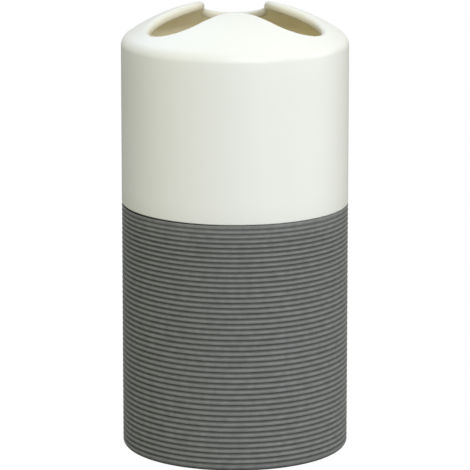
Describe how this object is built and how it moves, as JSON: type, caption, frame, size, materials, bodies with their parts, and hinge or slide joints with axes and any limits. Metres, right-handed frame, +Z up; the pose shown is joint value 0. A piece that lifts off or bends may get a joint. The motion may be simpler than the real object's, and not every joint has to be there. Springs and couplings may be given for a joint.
{
  "type": "toothbrush holder",
  "caption": "Round two-part toothbrush holder: ribbed matt stoneware cup under a domed glazed top with a three-armed opening, which lifts off for washing.",
  "frame": {"origin": "centre of the foot pads' underside, on the surface that the holder stands on", "axes": "+Z up along the holder's axis; +Y points to the rear, along one of the three slots; +X to the right"},
  "size_m": [0.068, 0.068, 0.1351],
  "materials": {
    "ribbed_stoneware": "matt grey stoneware with turned ribs",
    "white_glaze": "satin warm white glaze",
    "seal_silicone": "soft translucent grey silicone",
    "pad_silicone": "soft pale silicone"
  },
  "bodies": {
    "cup": {"ribbed_cup": "ribbed_stoneware", "foot_pad_1": "pad_silicone", "foot_pad_2": "pad_silicone", "foot_pad_3": "pad_silicone"},
    "top": {"domed_top": "white_glaze", "seal_ring": "seal_silicone"}
  },
  "joints": [
    {"name": "top_lift", "type": "slide", "parent": "cup", "child": "top", "axis": [0, 0, 1], "range_m": [0, 0.06]}
  ]
}
